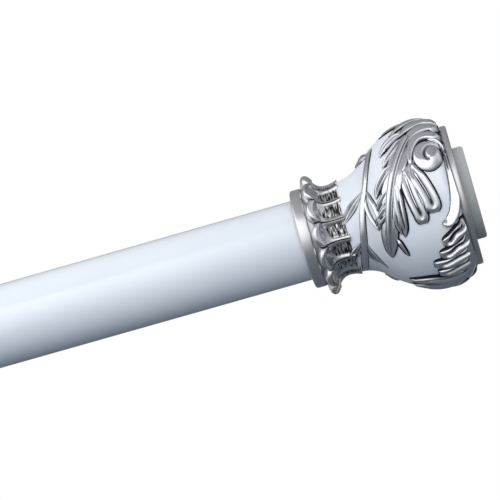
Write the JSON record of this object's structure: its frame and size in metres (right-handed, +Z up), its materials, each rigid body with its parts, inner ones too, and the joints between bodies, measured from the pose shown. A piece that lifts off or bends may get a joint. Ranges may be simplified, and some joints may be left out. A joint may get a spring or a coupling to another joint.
{
  "type": "extendable curtain rod",
  "caption": "Telescopic white curtain rod with carved silver-and-white urn finials, clamped between two walls by an inner spring and a twist lock.",
  "frame": {"origin": "centre of the fixed end's wall face", "axes": "+X along the rod from the fixed end to the sliding end, +Z up"},
  "size_m": [0.3991, 0.0534, 0.0532],
  "materials": {
    "tube_white": "gloss white enamel",
    "trim_white": "gloss white moulding",
    "finial": "cast resin, white with silver-leaf carving",
    "pad_rubber": "matt grey-white rubber",
    "steel": "zinc-plated steel",
    "plug_plastic": "natural moulded plastic"
  },
  "bodies": {
    "inner": {"inner_tube": "tube_white", "finial_fixed": "finial", "reducer_bush": "plug_plastic", "tube_plug_fixed": "plug_plastic", "draw_screw_fixed": "steel", "pad_plate_fixed": "steel", "wall_pad_fixed": "pad_rubber", "spring_seat": "plug_plastic", "press_spring": "steel", "guide_plug": "plug_plastic"},
    "shaft": {"lock_shaft": "steel", "stop_nut": "steel"},
    "collet": {"grip_collet": "plug_plastic"},
    "wedge": {"wedge_nut": "plug_plastic"},
    "outer": {"outer_tube": "tube_white", "mouth_ring": "trim_white", "finial_sliding": "finial", "tube_plug_sliding": "plug_plastic", "draw_screw_sliding": "steel", "pad_plate_sliding": "steel", "wall_pad_sliding": "pad_rubber"}
  },
  "joints": [
    {"name": "press", "type": "slide", "parent": "inner", "child": "shaft", "axis": [1, 0, 0], "range_m": [-0.012, 0], "stiffness_N_per_m": 3000, "springref_m": 0.01, "deforming": ["press_spring"]},
    {"name": "twist", "type": "hinge", "parent": "shaft", "child": "collet", "pos_m": [0.3148, 0, 0], "axis": [1, 0, 0], "range_deg": [0, 180]},
    {"name": "wedge_draw", "type": "slide", "parent": "collet", "child": "wedge", "axis": [-1, 0, 0], "range_m": [0, 0.0012]},
    {"name": "extend", "type": "slide", "parent": "collet", "child": "outer", "axis": [1, 0, 0], "range_m": [0, 0.2]}
  ],
  "couplings": [
    {"joint": "wedge_draw", "follows": "twist", "m_per_rad": 0.000318}
  ]
}
